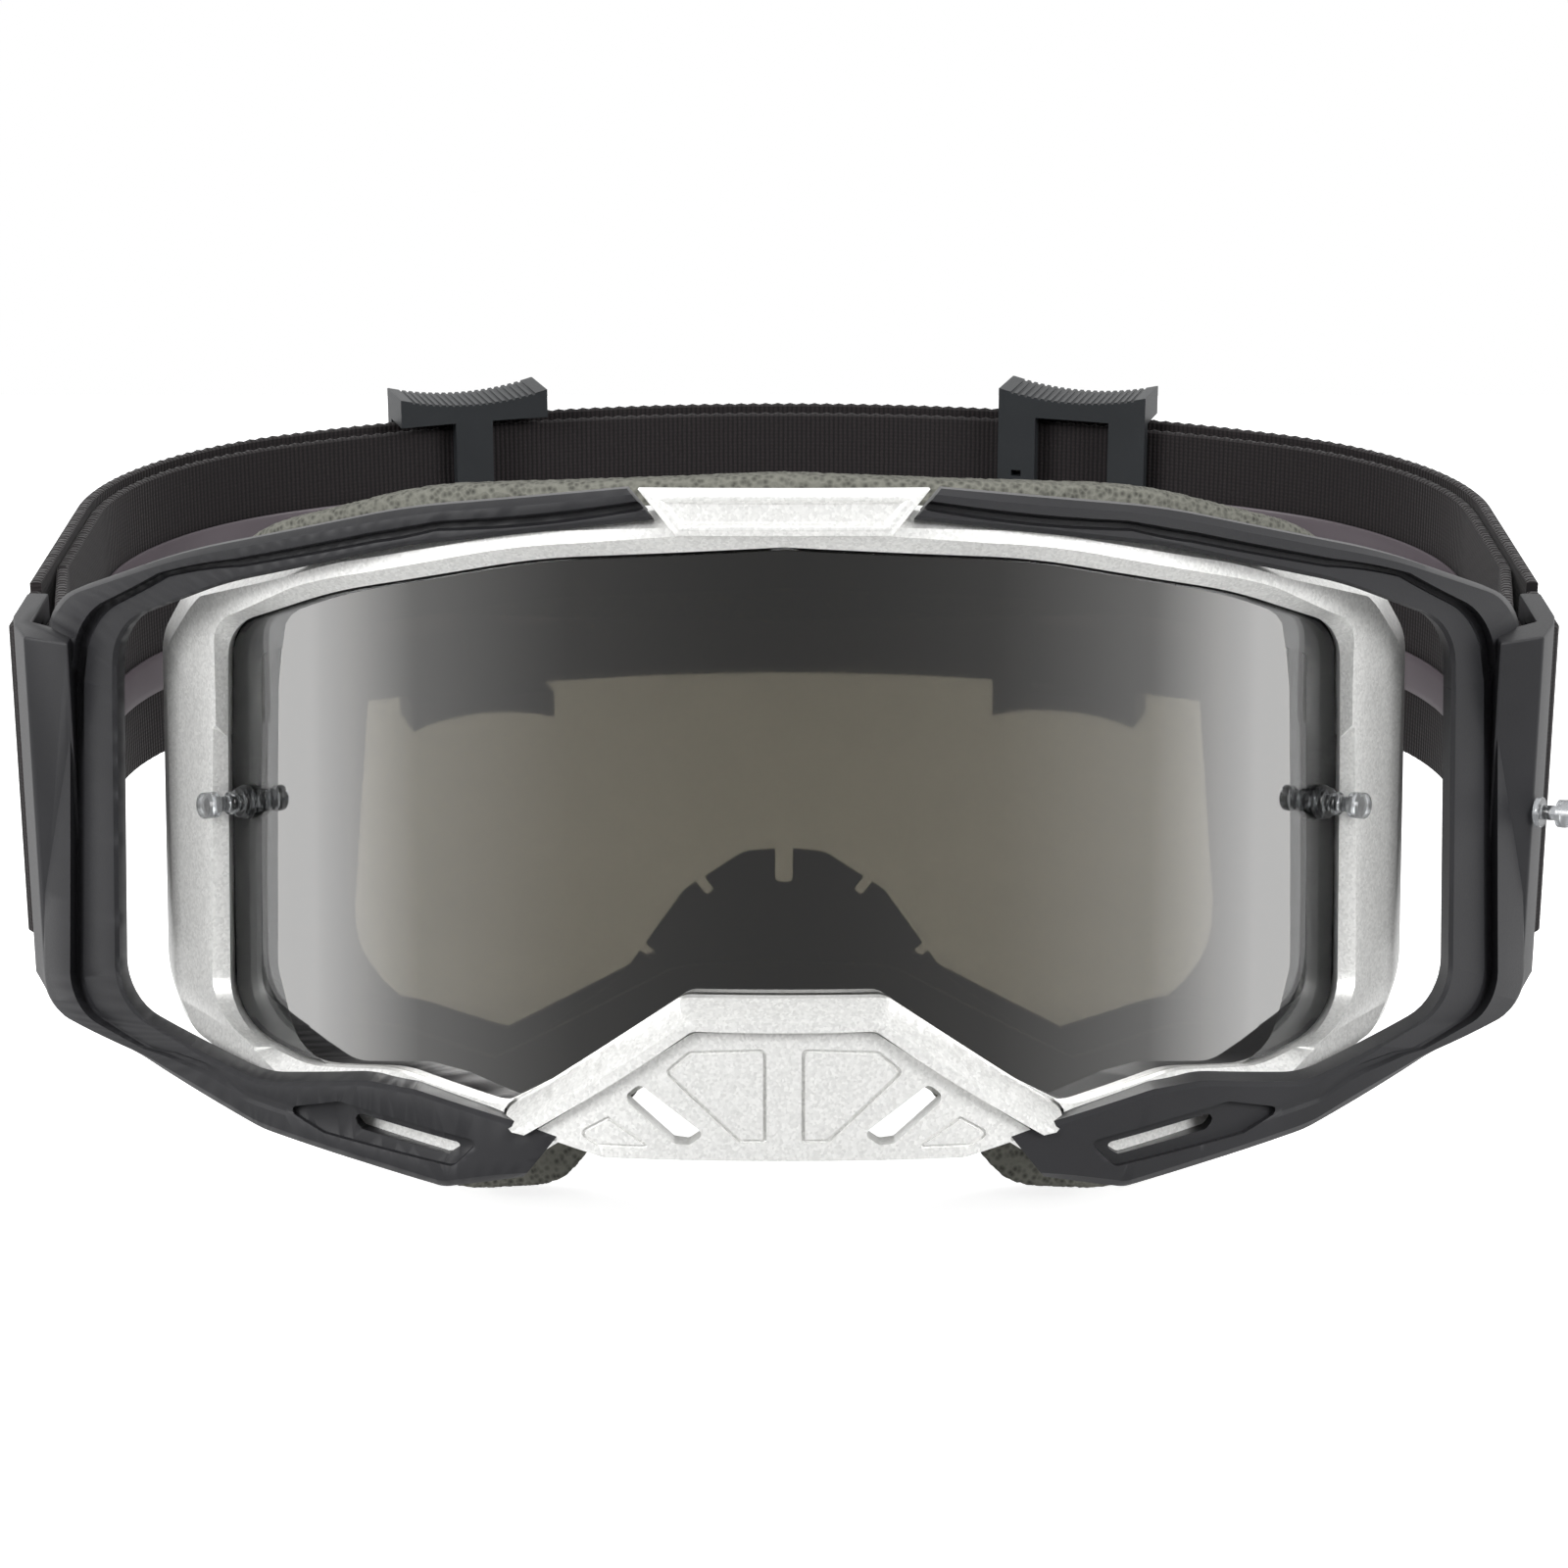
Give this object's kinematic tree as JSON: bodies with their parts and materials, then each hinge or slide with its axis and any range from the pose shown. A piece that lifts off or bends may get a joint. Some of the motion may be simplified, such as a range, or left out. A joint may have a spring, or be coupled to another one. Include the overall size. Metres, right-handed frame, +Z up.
{
  "type": "motorcycle goggles",
  "caption": "Off-road riding goggles: curved mirrored lens in a frame with strap arms, clip-on nose guard, tear-off posts, face foam and an elastic head band with sliders.",
  "frame": {"origin": "middle of the face seal, where the wearer's brow and nose meet the foam", "axes": "+Z up, -Y forward, the way the wearer looks, +X to the wearer's left"},
  "size_m": [0.211, 0.1915, 0.1036],
  "materials": {
    "frame_silver": "satin",
    "frame_black": "matte",
    "outrigger_black": "matte",
    "bridge_rubber": "matte",
    "foam_grey": "open cell",
    "fleece_grey": "brushed",
    "lens_mirror": "mirrored",
    "post_clear": "clear",
    "strap_black": "woven",
    "stripe_silicone": "satin",
    "slider_black": "matte",
    "thread_black": "stitched"
  },
  "bodies": {
    "frame": {"frame_shell": "frame_silver", "brow_badge": "frame_silver", "inner_frame": "frame_black", "outrigger_left": "outrigger_black", "outrigger_right": "outrigger_black", "vent_foam_left": "foam_grey", "vent_foam_right": "foam_grey", "brow_vent_foam": "foam_grey", "nose_bridge": "bridge_rubber", "face_foam_base": "foam_grey", "face_foam_mid": "foam_grey", "face_foam_fleece": "fleece_grey", "outrigger_post": "post_clear", "strap_bartack_left": "thread_black", "strap_bartack_right": "thread_black", "strap_inner_band": "strap_black", "strap_outer_band": "strap_black", "silicone_stripe_upper": "stripe_silicone", "silicone_stripe_lower": "stripe_silicone"},
    "lens_unit": {"lens": "lens_mirror", "tearoff_post_left": "post_clear", "tearoff_post_right": "post_clear", "tearoff_washer_left": "post_clear", "tearoff_washer_right": "post_clear", "post_retainer_left": "post_clear", "post_retainer_right": "post_clear"},
    "nose_guard": {"nose_guard": "frame_silver"},
    "slider_left": {"strap_slider_left": "slider_black"},
    "slider_right": {"strap_slider_right": "slider_black"}
  },
  "joints": [
    {"name": "lens_release", "type": "slide", "parent": "frame", "child": "lens_unit", "axis": [0, -1, 0], "range_m": [0, 0.03]},
    {"name": "nose_guard_release", "type": "slide", "parent": "lens_unit", "child": "nose_guard", "axis": [0, -1, 0], "range_m": [0, 0.02]},
    {"name": "slider_left_slide", "type": "hinge", "parent": "frame", "child": "slider_left", "pos_m": [0, -0.02028, -0.01486], "axis": [0, -0.2079, 0.9781], "range_deg": [-6, 6]},
    {"name": "slider_right_slide", "type": "hinge", "parent": "frame", "child": "slider_right", "pos_m": [0, -0.02028, -0.01486], "axis": [0, -0.2079, 0.9781], "range_deg": [-6, 6]}
  ]
}
